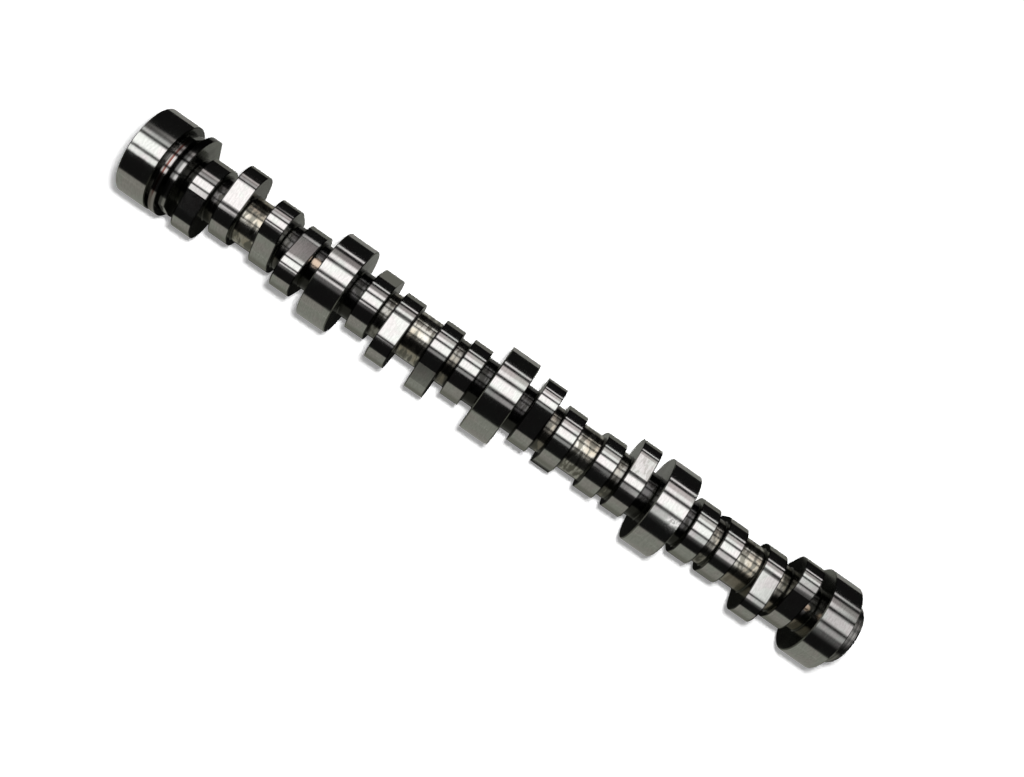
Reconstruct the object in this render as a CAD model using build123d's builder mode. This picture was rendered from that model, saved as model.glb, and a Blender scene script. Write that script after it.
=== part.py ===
"""Camshaft of a V8 pushrod engine, ground from one steel bar.

The shaft lies along X with its front end towards +X. The origin is on the shaft
axis, in the front face of the front journal, where the thrust plate runs.
Angles turn about the axis, from +Y (level) towards +Z (up), in degrees.
"""
import os
from math import cos, radians, sin

from build123d import *

# Bearing journals, counted from the front
journal_diameter = 55.0
journal_width = 18.8
journal_spacing = 111.76
journal_count = 5
journal_chamfer = 0.5
rear_journal_setback = 9.4

# Cam lobes
lobe_width = 12.2
base_diameter = 36.8
lobe_lift = 8.7
nose_radius = 14.2
inner_lobe_offset = 13.6
outer_lobe_offset = 32.6

# Valve timing, in degrees of camshaft rotation
firing_order = (1, 8, 7, 2, 6, 5, 4, 3)
firing_step = 45.0
bank_angle = 90.0
lobe_separation = 115.0
first_intake_angle = 40.0

# Core between the lobes
core_diameter = 29.5
core_flare = 0.6

# Two-track sensor rings beside the rear journal
ring_width = 4.1
ring_gap = 2.2
ring_clearance = 2.5
ring_diameter = 54.4
ring_low_diameter = 47.6
ring_floor_diameter = 42.0
rear_ring_raised = (45.0, 225.0)
front_ring_raised = (-4.0, 140.0)

# Front snout that carries the thrust plate and the timing sprocket
snout_diameter = 38.0
snout_length = 8.5
snout_chamfer = 1.5
bolt_count = 3
bolt_circle_diameter = 25.4
bolt_hole_diameter = 6.8
bolt_hole_depth = 24.0
bolt_hole_mouth_diameter = 8.6
thread_mouth_angle = 90.0
dowel_hole_diameter = 7.9
dowel_hole_depth = 14.0

# Grinding centres in both ends
centre_hole_diameter = 3.2
centre_mouth_diameter = 8.0
centre_hole_depth = 9.0
centre_angle = 60.0

# Places along the shaft
journal_radius = journal_diameter / 2
journal_centres = [-journal_width / 2 - i * journal_spacing for i in range(journal_count)]
journal_centres[-1] -= rear_journal_setback
rear_end = journal_centres[-1] - journal_width / 2
ring_starts = [rear_end + journal_width + ring_clearance]
ring_starts.append(ring_starts[0] + ring_width + ring_gap)
rings_end = ring_starts[-1] + ring_width
smallest_wall = (min(base_diameter, ring_low_diameter, journal_diameter) - core_diameter) / 2
root_flare = min(core_flare, 0.8 * smallest_wall)


def is_circle(edge, diameter):
    """True for a round edge of one of the shaft's diameters."""
    return edge.geom_type == GeomType.CIRCLE and abs(edge.radius - diameter / 2) < 0.01


def radial_plane(x, angle=0.0):
    """Cross-section plane at x, with its own x direction turned to an angle."""
    turn = radians(angle)
    return Plane(origin=(x, 0, 0), x_dir=(0, cos(turn), sin(turn)), z_dir=(1, 0, 0))


def lobe_angle(cylinder, valve):
    """Angle that a lobe's nose points to, from the firing order and the bank."""
    angle = first_intake_angle + firing_step * firing_order.index(cylinder)
    if cylinder % 2 == 0:
        angle += bank_angle
    if valve == "exhaust":
        angle -= lobe_separation
    return angle


def bay_lobes(bay):
    """Middle and nose angle of the four lobes between two journals, front first."""
    middle = -journal_width / 2 - (bay + 0.5) * journal_spacing
    odd, even = 2 * bay + 1, 2 * bay + 2
    return [
        (middle + outer_lobe_offset, lobe_angle(odd, "intake")),
        (middle + inner_lobe_offset, lobe_angle(even, "exhaust")),
        (middle - inner_lobe_offset, lobe_angle(odd, "exhaust")),
        (middle - outer_lobe_offset, lobe_angle(even, "intake")),
    ]


with BuildPart() as camshaft:
    # Core, running from the rear journal to the front one
    with BuildSketch(radial_plane(rear_end)):
        Circle(core_diameter / 2)
    extrude(amount=-rear_end)

    # Journals
    for centre in journal_centres:
        with BuildSketch(radial_plane(centre - journal_width / 2)):
            Circle(journal_radius)
        extrude(amount=journal_width)

    # Lobes, each a base circle and a nose circle joined by tangent flanks
    for bay in range(journal_count - 1):
        for middle, angle in bay_lobes(bay):
            with BuildSketch(radial_plane(middle - lobe_width / 2, angle)):
                Circle(base_diameter / 2)
                with Locations((base_diameter / 2 + lobe_lift - nose_radius, 0)):
                    Circle(nose_radius)
                make_hull()
            extrude(amount=lobe_width)

    # Sensor rings on their collar, each raised between two angles, with flats down to the low side
    with BuildSketch(radial_plane(rear_end + journal_width)):
        Circle(ring_floor_diameter / 2)
    extrude(amount=rings_end - rear_end - journal_width)
    for start, (first, last) in zip(ring_starts, (rear_ring_raised, front_ring_raised)):
        with BuildSketch(radial_plane(start)):
            Circle(ring_diameter / 2)
            for cut_angle in (first - 90, last + 90):
                with PolarLocations(ring_diameter / 2, 1, start_angle=cut_angle):
                    Rectangle(ring_diameter, 2 * ring_diameter, mode=Mode.SUBTRACT)
            Circle(ring_low_diameter / 2)
            make_hull()
        extrude(amount=ring_width)

    # Turned flares where the core meets the side faces
    roots = camshaft.edges().filter_by(lambda edge: is_circle(edge, core_diameter))
    chamfer(roots, root_flare)

    # Journal edges
    rims = camshaft.edges().filter_by(lambda edge: is_circle(edge, journal_diameter))
    chamfer(rims, journal_chamfer)

    # Snout
    with BuildSketch(radial_plane(0)):
        Circle(snout_diameter / 2)
    extrude(amount=snout_length)
    chamfer(camshaft.faces().sort_by(Axis.X)[-1].edges(), snout_chamfer)

    # Tapped holes and the dowel hole in the snout
    with Locations(radial_plane(snout_length, first_intake_angle)):
        with PolarLocations(bolt_circle_diameter / 2, bolt_count, start_angle=180 / bolt_count):
            CounterSinkHole(
                bolt_hole_diameter / 2,
                bolt_hole_mouth_diameter / 2,
                bolt_hole_depth,
                thread_mouth_angle,
            )
        with Locations((bolt_circle_diameter / 2, 0)):
            Hole(dowel_hole_diameter / 2, dowel_hole_depth)

    # Grinding centres
    front_plane = radial_plane(snout_length)
    rear_plane = Plane(origin=(rear_end, 0, 0), x_dir=(0, 1, 0), z_dir=(-1, 0, 0))
    with Locations(front_plane, rear_plane):
        CounterSinkHole(
            centre_hole_diameter / 2,
            centre_mouth_diameter / 2,
            centre_hole_depth,
            centre_angle,
        )

os.makedirs("parts", exist_ok=True)
camshaft.part.label = "camshaft"
export_step(camshaft.part, "parts/camshaft.step")
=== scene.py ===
"""Dresses the camshaft: steel finishes, white table, studio light and camera.

Everything is in metres in the shaft's own frame: X along the shaft towards its
front end, Z up. The camera looks down, with +Y towards the top of the picture.
"""

from math import cos, radians, sin
from types import SimpleNamespace

import bpy
from mathutils import Matrix, Vector


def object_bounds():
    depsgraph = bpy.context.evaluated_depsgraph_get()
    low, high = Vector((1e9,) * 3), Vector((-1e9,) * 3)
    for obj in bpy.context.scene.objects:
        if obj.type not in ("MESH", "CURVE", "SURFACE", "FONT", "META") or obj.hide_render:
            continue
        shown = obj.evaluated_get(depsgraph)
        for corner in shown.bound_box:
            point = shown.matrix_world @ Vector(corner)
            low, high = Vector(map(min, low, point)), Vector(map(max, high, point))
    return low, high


MM = 0.001

# Camera, matched to the photograph
IMAGE_WIDTH = 1024
FOCAL_PIXELS = 1111.6
SENSOR_WIDTH = 36.0
CAMERA_PLACE = Vector((-0.2476, -0.0066, 0.6330))
CAMERA_TARGET = Vector((-0.2297, 0.0073, 0.0))
CAMERA_CLIP = 10 * MM
SHAFT_SLOPE = radians(34.9)

# Sizes that tell the surfaces apart
CORE_LIMIT = 16.8 * MM
FLARE_LIMIT = 15.5 * MM
SNOUT_START = 0.2 * MM
JOURNAL_SPACING = 111.76 * MM
FRONT_JOURNAL = -9.4 * MM
REAR_BAY_END = FRONT_JOURNAL - 3 * JOURNAL_SPACING
EDGE_SOFTNESS = 0.5 * MM

# Sensor rings, counted from the groove beside the rear journal
RING_START = -453.94 * MM
RING_PITCH = 6.3 * MM
RINGS_END = -443.0 * MM
RING_GROOVES = (RING_START - 3 * MM, RING_START + 5 * MM)

# Places across a ring as shares of the pitch
RING_FACE = (0.10, 0.53)
RING_FACE_SOFTNESS = 0.09
# Painted shade on the rear share of each ring face, turning to painted highlight towards the front
RING_PAINTED_LIGHT_SIDE = (0.2, 0.42)
RED_LINE = (0.22, 0.32)
RED_LINE_SOFTNESS = 0.06
RED_LINE_HEIGHTS = (17 * MM, 23 * MM)

# Bare core between journals and lobes, from and to as distances from a journal's centre
CORE_GAPS = ((9.4 * MM, 17.2 * MM), (29.4 * MM, 36.2 * MM), (48.4 * MM, 63.4 * MM))
GAP_SHADE = 1.5 * MM
GAP_SOFTNESS = 1.0 * MM
# Width of the painted shade along the edges of journals and lobes beside the gaps
EDGE_SHADE_WIDTH = 0.3 * MM

# Painted shade darkens the core up to a distance from the journals, and is gone at another
SHADED_CORE_END = 14 * MM
REAR_SHADED_CORE_END = 29 * MM
LIGHT_CORE_START = 52 * MM
BAY_CHANGE = 5 * MM
# Where the brown painted shade on the core's low side begins along the shaft
BROWN_SHADE_START = (-0.09, -0.06)

# How steeply a surface has to turn to count as a side face or as a lobe's steep flank, which gets
# painted shade
SIDE_FACE_TURN = (0.4, 0.68)
STEEP_TURN = (0.78, 0.97)

# Worn and stained places, and spots of rust with painted highlight: centre and radius
WORN_JOURNAL = ((-0.466, -0.006, 0.027), 0.012)
MARKED_JOURNAL = ((-0.1150, -0.0048, 0.0271), 0.0065)
SCRATCHED_LOBE = ((-0.1444, 0.014, 0.020), 0.012)
RUST_AND_HIGHLIGHT_SPOTS = (((-0.0237, 0.0007, 0.0147), 0.0024), ((-0.3587, 0.0018, 0.0146), 0.0036))
SPOT_CORE = 0.6

# Patterns in the steel, in cycles per metre, and how much finer they are along the shaft
WAVE_SCALE = 45.0
BLOTCH_SCALE = 90.0
STREAK_SCALE = 130.0
GRAIN_SCALE = 330.0
SPECK_SCALE = 650.0
GROOVE_SCALE = 1800.0
SQUEEZE = (3.0, 1.0, 1.0)
BUMP_DEPTH = 0.05 * MM
PIT_DEPTH = 4.0

# Tones of the ground steel, with painted shade along the gap edges and on the lobes' steep flanks
GREEN_STEEL = ((0.645, 0.655, 0.625, 1.0), (0.585, 0.595, 0.565, 1.0))
PINK_STEEL = ((0.665, 0.635, 0.625, 1.0), (0.60, 0.57, 0.56, 1.0))
GROOVE_TONE = (0.3, 0.3, 0.3, 1.0)
# Painted shade along the edges of journals and lobes beside the gaps
EDGE_SHADE_TONE = (0.07, 0.07, 0.065, 1.0)
SCRATCH_TONE = (0.22, 0.21, 0.18, 1.0)
FLECK_TONE = (0.95, 0.94, 0.92, 1.0)
# Painted shade on the lobes' steep flanks
STEEP_SHADE_TONE = (0.30, 0.30, 0.26, 1.0)
SNOUT_TONES = ((0.40, 0.39, 0.37, 1.0), (0.16, 0.155, 0.15, 1.0))

# Tones of the core, with painted shade in the narrow gaps and on their low side, brown painted
# shade on the front cores' low side, painted shade beside the side faces, and spots of rust with
# painted highlight
OPEN_CORE_TONES = ((0.72, 0.70, 0.64, 1.0), (0.58, 0.52, 0.42, 1.0))
OPEN_STREAK_TONE = (0.24, 0.23, 0.195, 1.0)
# Painted shade in the narrow gaps beside the journals, darker on the low side
NARROW_CORE_SHADE_TONES = ((0.11, 0.106, 0.105, 1.0), (0.04, 0.039, 0.036, 1.0))
NARROW_LOW_SHADE_TONE = (0.045, 0.045, 0.04, 1.0)
# Brown painted shade on the low side of the front cores
BROWN_LOW_SHADE_TONE = (0.33, 0.29, 0.24, 1.0)
GAP_SHADE_TONE = (0.03, 0.03, 0.028, 1.0)
# Rust tone that also serves as a painted highlight on the dark cores
RUST_AND_HIGHLIGHT_TONE = (0.50, 0.385, 0.30, 1.0)

# Tones of the side faces, with painted shade in the flares and in the grooves beside the rings
SIDE_TONES = ((0.27, 0.28, 0.245, 1.0), (0.18, 0.18, 0.16, 1.0))
# Painted shade in the flares and in the grooves beside the rings
FLARE_SHADE_TONE = (0.07, 0.07, 0.06, 1.0)

# Tones of the sensor rings, with painted shade and highlight across each face, and painted shade in
# the grooves and on the top side
# Painted shade and painted highlight across each ring face
REAR_RING_SHADE_AND_LIGHT_TONES = ((0.26, 0.23, 0.215, 1.0), (0.46, 0.43, 0.42, 1.0))
FRONT_RING_SHADE_AND_LIGHT_TONES = ((0.13, 0.13, 0.125, 1.0), (0.42, 0.41, 0.40, 1.0))
RED_LINE_TONE = (0.20, 0.085, 0.07, 1.0)
# Painted shade on the ring edges and in the grooves between the rings
RING_GROOVE_SHADE_TONE = (0.05, 0.05, 0.048, 1.0)
# Painted shade on the ring surfaces that face the top of the picture
RING_TOP_SHADE_TONE = (0.10, 0.10, 0.09, 1.0)

# Table and room
FLOOR_SIZE = 6.0
PAPER_TONE = (0.96, 0.96, 0.96, 1.0)
LIFT_DISTANCES = (0.15, 1.1)
LIFT_LEVELS = (0.27, 1.0)
AMBIENT_LEVEL = 0.05
ROOM_RADIUS = 1.0
ROOM_OUTSIDE = 1.1
ROOM_HALF_LENGTH = 2.0
ROOM_ANGLES = (-112.0, 92.0)
ROOM_LEVEL = 0.008
PANEL_GAP = 5 * MM
PANEL_STEP_ANGLE = 3
PANEL_STEP_LENGTH = 0.1

# Cards on the table, by their edges in Y. They glow unseen by the camera and stand in for the table
# in the steel's reflections: the grey ones as painted light where the table is lit, the shade cards
# as painted shadow under the shaft
CARD_LIFT = 0.4 * MM
SHADE_REAR_EDGE = -29 * MM
SHADE_FRONT_EDGE = 14 * MM
WIDE_SHADE_EDGE = 25 * MM
WIDE_SHADE_START = -0.105
LIT_TABLE_EDGE = 67 * MM
SHADE_LEVEL = 0.01
UPPER_LIT_TABLE_LEVEL = 0.27
LOWER_LIT_TABLE_LEVEL = 0.275

# Walls at both ends: name, place along the shaft and strength
WALLS = (("front_wall", ROOM_HALF_LENGTH, 0.08), ("rear_wall", -ROOM_HALF_LENGTH, 0.35))

# Key lamp beside the camera
KEY_OFFSET = Vector((0.016, 0.065, 0.0))
KEY_RADIUS = 0.03
KEY_STRENGTH = 34.0

# Softboxes around the shaft: name, from and to in degrees off straight up
# (positive towards the bottom of the picture), from and to along the shaft,
# soft edge in degrees and in metres, colour and strength
WHITE = (1.0, 1.0, 1.0)
PINK = (1.0, 0.95, 0.94)
OLIVE = (1.0, 1.0, 0.93)
SAND = (0.98, 0.995, 0.885)
SOFTBOXES = (
    ("horizon_box", -79.5, -71.0, -0.66, 0.47, 3.5, 0.17, WHITE, 1.1),
    ("pink_box", -66.5, -52.0, -0.46, 0.38, 4.0, 0.20, PINK, 0.42),
    ("pink_wide_box", -66.5, -48.0, -0.93, 2.0, 4.0, 0.30, PINK, 0.32),
    ("rear_flank_box", -67.0, -56.0, -0.82, -0.53, 3.0, 0.07, PINK, 0.36),
    ("upper_box", -56.0, -39.0, -0.68, 0.42, 6.0, 0.15, WHITE, 0.85),
    ("upper_wide_box", -53.0, -39.0, -2.0, 0.52, 5.0, 0.20, WHITE, 0.48),
    ("upper_rear_box", -50.0, -38.5, -2.0, -0.70, 5.0, 0.12, WHITE, 0.30),
    ("main_box", -36.5, -2.7, -2.0, 0.34, 7.0, 0.15, WHITE, 1.55),
    ("main_end_box", -36.5, -1.7, 0.22, 2.0, 8.0, 0.15, WHITE, 0.85),
    ("lower_rear_box", -1.5, 16.0, -2.0, -0.62, 5.0, 0.12, WHITE, 1.35),
    ("lower_joint_box", -0.5, 9.5, -0.70, -0.36, 5.0, 0.10, WHITE, 1.2),
    ("lower_joint_haze", 3.0, 22.0, -0.66, -0.38, 8.0, 0.10, WHITE, 0.13),
    ("lower_middle_box", 0.0, 15.0, -0.40, 0.0, 5.0, 0.10, WHITE, 0.42),
    ("lower_front_box", -1.5, 24.5, -0.04, 0.32, 8.0, 0.10, WHITE, 0.85),
    ("lower_end_box", -0.8, 20.0, 0.22, 2.0, 8.0, 0.12, WHITE, 0.48),
    ("haze_box", 8.0, 38.0, -0.04, 2.0, 17.0, 0.20, WHITE, 0.11),
    ("grey_wall", 64.5, 100.0, -2.0, 2.0, 5.5, 0.05, SAND, LOWER_LIT_TABLE_LEVEL),
)

# How far the softboxes bend from their angles along the room, in degrees: place,
# bend near the horizon and bend from the upper softbox on
BEND_ANGLES = (-75.0, -50.0)
BENDS = (
    (-2.0, 20.0, 20.0),
    (-0.83, 10.0, 10.0),
    (-0.51, -2.2, 3.2),
    (-0.2, 0.0, 0.0),
    (0.1, 0.0, 0.0),
    (0.4, 1.8, 3.2),
    (2.0, 6.0, 6.0),
)


def node_tree(owner):
    """Emptied node tree of a material, lamp or world."""
    owner.use_nodes = True
    owner.node_tree.nodes.clear()
    return owner.node_tree


def add_node(tree, kind, inputs=None, **settings):
    """New node with its settings, and its inputs given as values or sockets."""
    node = tree.nodes.new(kind)
    for name, value in settings.items():
        setattr(node, name, value)
    for key, value in (inputs or {}).items():
        if isinstance(value, bpy.types.NodeSocket):
            tree.links.new(value, node.inputs[key])
        else:
            node.inputs[key].default_value = value
    return node


def combine(tree, operation, first, second=0.0):
    """Result of a Math node."""
    return add_node(tree, "ShaderNodeMath", {0: first, 1: second}, operation=operation).outputs[0]


def ramp(tree, value, start, end, low=0.0, high=1.0):
    """Value carried smoothly from low at start to high at end."""
    inputs = {"Value": value, "From Min": start, "From Max": end, "To Min": low, "To Max": high}
    return add_node(tree, "ShaderNodeMapRange", inputs, interpolation_type="SMOOTHSTEP").outputs[0]


def mix_colour(tree, factor, first, second):
    """Colour between two colours."""
    inputs = {"Factor": factor, "A": first, "B": second}
    return add_node(tree, "ShaderNodeMix", inputs, data_type="RGBA").outputs["Result"]


def mix_value(tree, factor, first, second):
    """Value between two values."""
    inputs = {"Factor": factor, "A": first, "B": second}
    return add_node(tree, "ShaderNodeMix", inputs).outputs["Result"]


def between(tree, value, start, end, soft):
    """One between two limits, fading to nothing outside them."""
    rise = ramp(tree, value, start - soft, start)
    return combine(tree, "MULTIPLY", rise, ramp(tree, value, end + soft, end))


def spot(tree, point, centre, radius):
    """One around a centre, fading to nothing at a radius."""
    distance = add_node(tree, "ShaderNodeVectorMath", {0: point, 1: centre}, operation="DISTANCE")
    return ramp(tree, distance.outputs["Value"], radius, SPOT_CORE * radius)


def noise(tree, vector, scale, detail):
    """Noise value over a vector."""
    inputs = {"Vector": vector, "Scale": scale, "Detail": detail}
    return add_node(tree, "ShaderNodeTexNoise", inputs).outputs["Fac"]


def seen_directly(tree):
    """One for the camera, and for rays that are mirrored or pass through."""
    paths = add_node(tree, "ShaderNodeLightPath").outputs
    seen = combine(tree, "MAXIMUM", paths["Is Camera Ray"], paths["Is Glossy Ray"])
    return combine(tree, "MAXIMUM", seen, paths["Is Transmission Ray"])


def glow_material(name, colour, strength):
    """Evenly glowing surface."""
    material = bpy.data.materials.new(name)
    tree = node_tree(material)
    glow = add_node(tree, "ShaderNodeEmission", {"Color": (*colour, 1.0), "Strength": strength})
    add_node(tree, "ShaderNodeOutputMaterial", {"Surface": glow.outputs[0]})
    return material


def softbox_material(name, colour, strength, soft_along, soft_across):
    """Clear panel with a glow that fades out softly towards its edges."""
    material = bpy.data.materials.new(name)
    tree = node_tree(material)
    place = add_node(tree, "ShaderNodeUVMap").outputs[0]
    along, across, _ = add_node(tree, "ShaderNodeSeparateXYZ", {0: place}).outputs
    level = None
    for value, soft in ((along, soft_along), (across, soft_across)):
        for edge in (ramp(tree, value, 0.0, soft), ramp(tree, value, 1.0, 1.0 - soft)):
            level = edge if level is None else combine(tree, "MULTIPLY", level, edge)
    level = combine(tree, "MULTIPLY", level, strength)
    glow = add_node(tree, "ShaderNodeEmission", {"Color": (*colour, 1.0), "Strength": level})
    clear = add_node(tree, "ShaderNodeBsdfTransparent")
    both = add_node(tree, "ShaderNodeAddShader", {0: clear.outputs[0], 1: glow.outputs[0]})
    add_node(tree, "ShaderNodeOutputMaterial", {"Surface": both.outputs[0]})
    return material


def shaft_places(tree):
    """Where a point lies on the shaft and which way its surface faces."""
    coordinates = add_node(tree, "ShaderNodeTexCoord").outputs
    point, normal = coordinates["Object"], coordinates["Normal"]
    along, side, up = add_node(tree, "ShaderNodeSeparateXYZ", {0: point}).outputs
    facing, sideways, _ = add_node(tree, "ShaderNodeSeparateXYZ", {0: normal}).outputs
    across = add_node(tree, "ShaderNodeCombineXYZ", {"Y": side, "Z": up}).outputs[0]
    length = add_node(tree, "ShaderNodeVectorMath", {0: across}, operation="LENGTH")
    from_front = combine(tree, "SUBTRACT", along, FRONT_JOURNAL)
    return SimpleNamespace(
        point=point,
        along=along,
        up=up,
        facing=facing,
        sideways=sideways,
        radius=length.outputs["Value"],
        from_journal=combine(tree, "PINGPONG", from_front, JOURNAL_SPACING / 2),
        past_rings=combine(tree, "GREATER_THAN", along, RINGS_END),
    )


def steel_patterns(tree, place):
    """Noise patterns that the finishes share."""
    squeeze = {0: place.point, 1: SQUEEZE}
    squeezed = add_node(tree, "ShaderNodeVectorMath", squeeze, operation="MULTIPLY").outputs[0]
    turns = combine(tree, "MULTIPLY", place.along, GROOVE_SCALE)
    turned = add_node(tree, "ShaderNodeCombineXYZ", {"X": turns}).outputs[0]
    waves = noise(tree, place.point, WAVE_SCALE, 4.0)
    return SimpleNamespace(
        waves=waves,
        stain=ramp(tree, waves, 0.46, 0.62),
        blotches=noise(tree, place.point, BLOTCH_SCALE, 5.0),
        streaks=noise(tree, squeezed, STREAK_SCALE, 4.0),
        grain=ramp(tree, noise(tree, squeezed, GRAIN_SCALE, 2.0), 0.35, 0.65),
        specks=ramp(tree, noise(tree, place.point, SPECK_SCALE, 2.0), 0.42, 0.56),
        grooves=noise(tree, turned, 1.0, 2.0),
    )


def ground_tone(tree, place, pattern):
    """Tone of journals and lobes, with scratches and flecks, and painted shade along the gap edges
    and on the lobes' steep flanks.
    """
    green = mix_colour(tree, pattern.grain, *GREEN_STEEL)
    pink = mix_colour(tree, pattern.grain, *PINK_STEEL)
    tone = mix_colour(tree, ramp(tree, pattern.blotches, 0.42, 0.58), pink, green)
    tone = mix_colour(tree, ramp(tree, pattern.grooves, 0.35, 0.65, 0.0, 0.12), tone, GROOVE_TONE)

    # Painted shade along the edges of journals and lobes beside the gaps
    edge_shade = 0.0
    for start, end in CORE_GAPS:
        edges = between(
            tree, place.from_journal, start - EDGE_SHADE_WIDTH, end + EDGE_SHADE_WIDTH, EDGE_SOFTNESS
        )
        edge_shade = combine(tree, "MAXIMUM", edge_shade, edges)
    edge_shade = combine(tree, "MULTIPLY", edge_shade, place.past_rings)
    tone = mix_colour(tree, edge_shade, tone, EDGE_SHADE_TONE)

    scratched = spot(tree, place.point, *SCRATCHED_LOBE)
    scratches = combine(
        tree, "MULTIPLY", scratched, ramp(tree, pattern.streaks, 0.5, 0.56, 0.0, 0.35)
    )
    tone = mix_colour(tree, scratches, tone, SCRATCH_TONE)
    marked = spot(tree, place.point, *MARKED_JOURNAL)
    flecks = combine(tree, "MULTIPLY", marked, pattern.specks)
    tone = mix_colour(tree, flecks, tone, FLECK_TONE)

    past_journal = combine(tree, "GREATER_THAN", place.from_journal, CORE_GAPS[0][1])
    lobe = combine(tree, "MULTIPLY", place.past_rings, past_journal)
    # Painted shade where a lobe's surface turns steeply sideways
    steep_shade = ramp(tree, combine(tree, "ABSOLUTE", place.sideways), *STEEP_TURN)
    return mix_colour(tree, combine(tree, "MULTIPLY", lobe, steep_shade), tone, STEEP_SHADE_TONE)


def core_tone(tree, place, pattern):
    """Tone of the core: stained in the wide gaps, with painted shade beside the journals, on the
    low side and by the side faces, and spots of rust with painted highlight.
    """
    streak = ramp(tree, pattern.streaks, 0.42, 0.6)
    open_core = mix_colour(tree, pattern.stain, *OPEN_CORE_TONES)
    open_core = mix_colour(tree, streak, open_core, OPEN_STREAK_TONE)
    # Painted shade on the core in the narrow gaps beside the journals, darker still on the side
    # facing the bottom of the picture
    shaded_narrow_core = mix_colour(tree, streak, *NARROW_CORE_SHADE_TONES)
    shaded_low_side = ramp(tree, place.sideways, -0.35, -0.65)
    shaded_narrow_core = mix_colour(tree, shaded_low_side, shaded_narrow_core, NARROW_LOW_SHADE_TONE)
    change = (REAR_BAY_END - BAY_CHANGE, REAR_BAY_END + BAY_CHANGE)
    shade_end = ramp(tree, place.along, *change, REAR_SHADED_CORE_END, SHADED_CORE_END)
    openness = ramp(tree, place.from_journal, shade_end, LIGHT_CORE_START)
    tone = mix_colour(tree, openness, shaded_narrow_core, open_core)

    # Brown painted shade on the low side of the cores towards the front
    in_front = ramp(tree, place.along, *BROWN_SHADE_START)
    brown_low_shade = combine(tree, "MULTIPLY", ramp(tree, place.sideways, -0.3, -0.6), in_front)
    tone = mix_colour(tree, brown_low_shade, tone, BROWN_LOW_SHADE_TONE)

    open_gap = 0.0
    for start, end in CORE_GAPS:
        middle = between(
            tree, place.from_journal, start + GAP_SHADE, end - GAP_SHADE, GAP_SOFTNESS
        )
        open_gap = combine(tree, "MAXIMUM", open_gap, middle)
    tone = mix_colour(tree, open_gap, GAP_SHADE_TONE, tone)
    # Spots of rust with painted highlight, set where the core catches the light
    for rust_and_highlight_spot in RUST_AND_HIGHLIGHT_SPOTS:
        tone = mix_colour(tree, spot(tree, place.point, *rust_and_highlight_spot), tone, RUST_AND_HIGHLIGHT_TONE)
    return tone


def side_tone(tree, place, pattern):
    """Tone of the side faces, with painted shade in the flares and in the grooves beside the rings.
    """
    tone = mix_colour(tree, pattern.stain, *SIDE_TONES)
    grooves = between(tree, place.along, *RING_GROOVES, EDGE_SOFTNESS)
    inside = between(tree, place.along, RING_GROOVES[0], FRONT_JOURNAL, EDGE_SOFTNESS)
    inner = combine(tree, "LESS_THAN", place.radius, FLARE_LIMIT)
    flares = combine(tree, "MULTIPLY", inside, inner)
    # Painted shade in the grooves beside the rings and in the flares at the roots
    return mix_colour(tree, combine(tree, "MAXIMUM", grooves, flares), tone, FLARE_SHADE_TONE)


def ring_tone(tree, place):
    """Tone of the sensor rings: painted shade and highlight across each face, painted shade in the
    grooves and on the top side, and a red line on the rear one.
    """
    from_start = combine(tree, "SUBTRACT", place.along, RING_START)
    ring_count = combine(tree, "DIVIDE", from_start, RING_PITCH)
    rear_ring = combine(tree, "LESS_THAN", ring_count, 1.0)
    share = combine(tree, "FRACT", ring_count)
    # Painted shade on the rear share of each ring face and painted highlight on the front share
    painted_light_side = ramp(tree, share, *RING_PAINTED_LIGHT_SIDE)
    rear_ring_shading = mix_colour(tree, painted_light_side, *REAR_RING_SHADE_AND_LIGHT_TONES)
    front_ring_shading = mix_colour(tree, painted_light_side, *FRONT_RING_SHADE_AND_LIGHT_TONES)
    tone = mix_colour(tree, rear_ring, front_ring_shading, rear_ring_shading)

    line = between(tree, share, *RED_LINE, RED_LINE_SOFTNESS)
    line = combine(tree, "MULTIPLY", line, rear_ring)
    line = combine(tree, "MULTIPLY", line, ramp(tree, place.up, *RED_LINE_HEIGHTS))
    tone = mix_colour(tree, line, tone, RED_LINE_TONE)
    # Painted shade on the ring edges and in the grooves between the rings
    face = between(tree, share, *RING_FACE, RING_FACE_SOFTNESS)
    tone = mix_colour(tree, face, RING_GROOVE_SHADE_TONE, tone)
    # Painted shade on the ring surfaces that face the top of the picture
    return mix_colour(tree, ramp(tree, place.sideways, 0.4, 0.75), tone, RING_TOP_SHADE_TONE)


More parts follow.
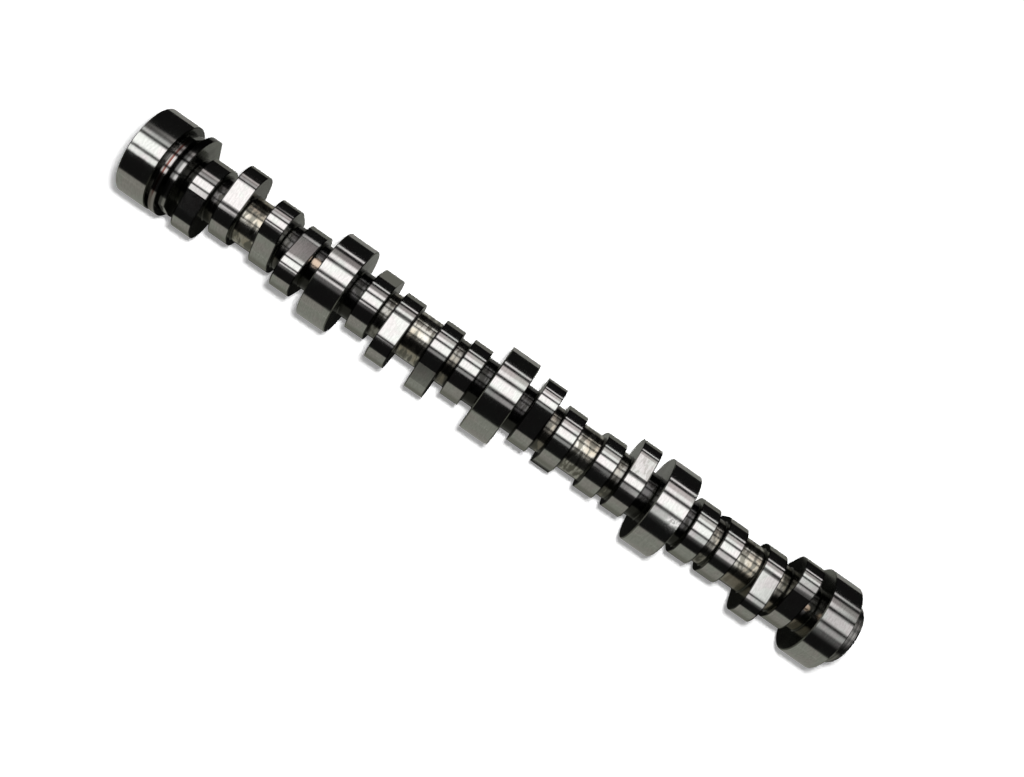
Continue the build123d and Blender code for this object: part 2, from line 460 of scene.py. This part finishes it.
def steel_material():
    """Ground steel on journals and lobes, a stained core and duller side faces."""
    material = bpy.data.materials.new("camshaft_steel")
    tree = node_tree(material)
    place = shaft_places(tree)
    pattern = steel_patterns(tree, place)

    side_face = ramp(tree, combine(tree, "ABSOLUTE", place.facing), *SIDE_FACE_TURN)
    core = combine(tree, "LESS_THAN", place.radius, CORE_LIMIT)
    snout = combine(tree, "GREATER_THAN", place.along, SNOUT_START)
    past_groove = combine(tree, "GREATER_THAN", place.along, RING_START - EDGE_SOFTNESS)
    before_lobes = combine(tree, "LESS_THAN", place.along, RINGS_END)
    ring = combine(tree, "MULTIPLY", past_groove, before_lobes)

    snout_tone = mix_colour(tree, ramp(tree, pattern.grooves, 0.4, 0.6), *SNOUT_TONES)
    colour = mix_colour(tree, ring, ground_tone(tree, place, pattern), ring_tone(tree, place))
    colour = mix_colour(tree, snout, colour, snout_tone)
    colour = mix_colour(tree, core, colour, core_tone(tree, place, pattern))
    colour = mix_colour(tree, side_face, colour, side_tone(tree, place, pattern))

    ground_rough = ramp(tree, pattern.blotches, 0.3, 0.7, 0.09, 0.13)
    core_rough = ramp(tree, pattern.grooves, 0.3, 0.7, 0.13, 0.20)
    rough = mix_value(tree, snout, ground_rough, 0.24)
    rough = mix_value(tree, core, rough, core_rough)
    rough = mix_value(tree, side_face, rough, 0.22)

    ripple = {"Height": pattern.waves, "Strength": 0.5, "Distance": BUMP_DEPTH}
    ripples = add_node(tree, "ShaderNodeBump", ripple).outputs[0]
    worn = spot(tree, place.point, *WORN_JOURNAL)
    pits = combine(tree, "MULTIPLY", combine(tree, "MULTIPLY", pattern.streaks, worn), PIT_DEPTH)
    lines = combine(tree, "ADD", combine(tree, "MULTIPLY", pattern.grooves, core), pits)
    relief = {"Height": lines, "Strength": 0.25, "Distance": BUMP_DEPTH, "Normal": ripples}
    bump = add_node(tree, "ShaderNodeBump", relief).outputs[0]

    finish = {"Base Color": colour, "Metallic": 1.0, "Roughness": rough, "Normal": bump}
    surface = add_node(tree, "ShaderNodeBsdfPrincipled", finish)
    add_node(tree, "ShaderNodeOutputMaterial", {"Surface": surface.outputs[0]})
    return material


def floor_material():
    """White table top that keeps the shaft's shadow and stays white far from the lamp."""
    material = bpy.data.materials.new("white_table")
    tree = node_tree(material)
    place = add_node(tree, "ShaderNodeTexCoord").outputs["Object"]
    far = add_node(tree, "ShaderNodeVectorMath", {0: place, 1: CAMERA_TARGET}, operation="DISTANCE")
    level = ramp(tree, far.outputs["Value"], *LIFT_DISTANCES, *LIFT_LEVELS)
    level = combine(tree, "MULTIPLY", seen_directly(tree), level)
    paper = add_node(tree, "ShaderNodeBsdfDiffuse", {"Color": PAPER_TONE})
    lift = add_node(tree, "ShaderNodeEmission", {"Strength": level})
    both = add_node(tree, "ShaderNodeAddShader", {0: paper.outputs[0], 1: lift.outputs[0]})
    add_node(tree, "ShaderNodeOutputMaterial", {"Surface": both.outputs[0]})
    return material


def new_mesh(name, corners, faces, material):
    """Mesh object made from corners and faces, as part of the surroundings."""
    mesh = bpy.data.meshes.new(name)
    mesh.from_pydata(corners, [], faces)
    mesh.materials.append(material)
    piece = bpy.data.objects.new(name, mesh)
    bpy.context.scene.collection.objects.link(piece)
    return piece


def only_in_reflections(piece):
    """Leaves a softbox or card to be seen in the steel only, as if it stood out of frame."""
    piece.visible_camera = False
    piece.visible_diffuse = False
    piece.visible_shadow = False
    piece.visible_transmission = False


def add_floor(height):
    """Table top under the shaft."""
    half = FLOOR_SIZE / 2
    outline = ((-half, -half), (half, -half), (half, half), (-half, half))
    corners = [(x, y, height) for x, y in outline]
    new_mesh("table", corners, [(0, 1, 2, 3)], floor_material())


def bent(x, angle):
    """Angle of a softbox's point after the bend at its place along the room."""
    low, high = BEND_ANGLES
    share = min(max((angle - low) / (high - low), 0.0), 1.0)
    for (x0, *first), (x1, *second) in zip(BENDS, BENDS[1:]):
        if x <= x1:
            break
    part = (x - x0) / (x1 - x0)
    near_horizon, above = [a + (b - a) * part for a, b in zip(first, second)]
    return angle + near_horizon + (above - near_horizon) * share


def add_arc_panel(name, start, end, rear, front, radius, material):
    """Long panel curved around the shaft between two angles off straight up."""
    rows = max(1, round(abs(end - start) / PANEL_STEP_ANGLE))
    columns = max(1, round((front - rear) / PANEL_STEP_LENGTH))
    corners, coordinates = [], []
    for i in range(rows + 1):
        for j in range(columns + 1):
            x = rear + (front - rear) * j / columns
            angle = radians(bent(x, start + (end - start) * i / rows))
            corners.append((x, -radius * sin(angle), radius * cos(angle)))
            coordinates.append((j / columns, i / rows))
    faces = []
    for i in range(rows):
        for j in range(columns):
            low = i * (columns + 1) + j
            high = low + columns + 1
            faces.append((low, low + 1, high + 1, high))
    piece = new_mesh(name, corners, faces, material)
    layer = piece.data.uv_layers.new(name="UVMap")
    for loop in piece.data.loops:
        layer.data[loop.index].uv = coordinates[loop.vertex_index]
    only_in_reflections(piece)


def add_card(name, near, far, height, material, start=-ROOM_HALF_LENGTH):
    """Flat card on the table beside the shaft, between two distances in Y."""
    end = ROOM_HALF_LENGTH
    outline = ((start, near), (end, near), (end, far), (start, far))
    corners = [(x, y, height) for x, y in outline]
    only_in_reflections(new_mesh(name, corners, [(0, 1, 2, 3)], material))


def add_wall(name, x, half, material):
    """Upright square wall across one end of the room."""
    outline = ((-half, -half), (half, -half), (half, half), (-half, half))
    corners = [(x, y, z) for y, z in outline]
    only_in_reflections(new_mesh(name, corners, [(0, 1, 2, 3)], material))


def add_surroundings(table_height):
    """Dark room with long softboxes above the shaft, and glowing cards on the table beside it as
    painted light and painted shadow of the table in the reflections.
    """
    length, outside = ROOM_HALF_LENGTH, ROOM_RADIUS * ROOM_OUTSIDE
    dark = glow_material("dark_room", WHITE, ROOM_LEVEL)
    upper_lit_table = glow_material("upper_lit_table_card", OLIVE, UPPER_LIT_TABLE_LEVEL)
    lower_lit_table = glow_material("lower_lit_table_card", SAND, LOWER_LIT_TABLE_LEVEL)
    shade = glow_material("shade_card", OLIVE, SHADE_LEVEL)
    add_arc_panel("dark_room", *ROOM_ANGLES, -length, length, outside, dark)
    for index, softbox in enumerate(SOFTBOXES):
        name, start, end, rear, front, soft, fade, colour, strength = softbox
        soft_along, soft_across = fade / (front - rear), soft / (end - start)
        material = softbox_material(name, colour, strength, soft_along, soft_across)
        radius = ROOM_RADIUS - index * PANEL_GAP
        add_arc_panel(name, start, end, rear, front, radius, material)

    height = table_height + CARD_LIFT
    wide_height = height + CARD_LIFT
    # Grey cards glow as painted light of the lit table; the shade cards are its painted shadow
    # under the shaft
    add_card("black_card", LIT_TABLE_EDGE, outside, height, dark)
    add_card("upper_lit_table_card", SHADE_FRONT_EDGE, LIT_TABLE_EDGE, height, upper_lit_table)
    add_card("shade_card", SHADE_REAR_EDGE, SHADE_FRONT_EDGE, height, shade)
    add_card(
        "wide_shade_card", SHADE_FRONT_EDGE, WIDE_SHADE_EDGE, wide_height, shade, WIDE_SHADE_START
    )
    add_card("lower_lit_table_card", -outside, SHADE_REAR_EDGE, height, lower_lit_table)
    for name, x, strength in WALLS:
        add_wall(name, x, outside, glow_material(name, OLIVE, strength))


def add_lamp(name, place, radius, strength):
    """Small soft lamp that doesn't fall off with distance and isn't itself seen in the steel."""
    lamp = bpy.data.lights.new(name, "POINT")
    lamp.shadow_soft_size = radius
    lamp.energy = 1.0
    tree = node_tree(lamp)
    even = add_node(tree, "ShaderNodeLightFalloff", {"Strength": strength}).outputs["Constant"]
    glow = add_node(tree, "ShaderNodeEmission", {"Strength": even})
    add_node(tree, "ShaderNodeOutputLight", {"Surface": glow.outputs[0]})
    light = bpy.data.objects.new(name, lamp)
    light.location = place
    light.visible_glossy = False
    bpy.context.scene.collection.objects.link(light)


def set_world():
    """White to the camera and in reflections, and a weak even light."""
    world = bpy.data.worlds.new("studio")
    tree = node_tree(world)
    strength = mix_value(tree, seen_directly(tree), AMBIENT_LEVEL, 1.0)
    sky = add_node(tree, "ShaderNodeBackground", {"Strength": strength, "Color": (*WHITE, 1.0)})
    add_node(tree, "ShaderNodeOutputWorld", {"Surface": sky.outputs[0]})
    bpy.context.scene.world = world


def add_camera():
    """Camera at the photograph's place, with the shaft sloping down to the right."""
    data = bpy.data.cameras.new("camera")
    data.sensor_width = SENSOR_WIDTH
    data.lens = FOCAL_PIXELS * SENSOR_WIDTH / IMAGE_WIDTH
    data.clip_start = CAMERA_CLIP
    camera = bpy.data.objects.new("camera", data)
    forward = (CAMERA_TARGET - CAMERA_PLACE).normalized()
    picture_up = Vector((-sin(SHAFT_SLOPE), cos(SHAFT_SLOPE), 0.0))
    right = forward.cross(picture_up).normalized()
    up = right.cross(forward)
    turn = Matrix((right, up, -forward)).transposed()
    camera.matrix_world = Matrix.Translation(CAMERA_PLACE) @ turn.to_4x4()
    bpy.context.scene.collection.objects.link(camera)
    bpy.context.scene.camera = camera


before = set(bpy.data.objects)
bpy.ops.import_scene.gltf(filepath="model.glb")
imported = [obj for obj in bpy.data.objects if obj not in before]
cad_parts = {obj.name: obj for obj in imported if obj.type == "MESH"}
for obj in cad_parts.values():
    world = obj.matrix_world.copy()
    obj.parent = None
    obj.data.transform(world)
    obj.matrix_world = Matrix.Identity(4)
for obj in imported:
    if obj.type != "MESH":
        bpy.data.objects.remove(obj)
cad_low, cad_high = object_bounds()

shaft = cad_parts["camshaft"]
steel = steel_material()
for slot in shaft.material_slots:
    slot.material = steel

add_floor(cad_low.z)
add_surroundings(cad_low.z)
set_world()
add_lamp("key", CAMERA_PLACE + KEY_OFFSET, KEY_RADIUS, KEY_STRENGTH)
add_camera()
bpy.context.scene.view_settings.view_transform = "Standard"
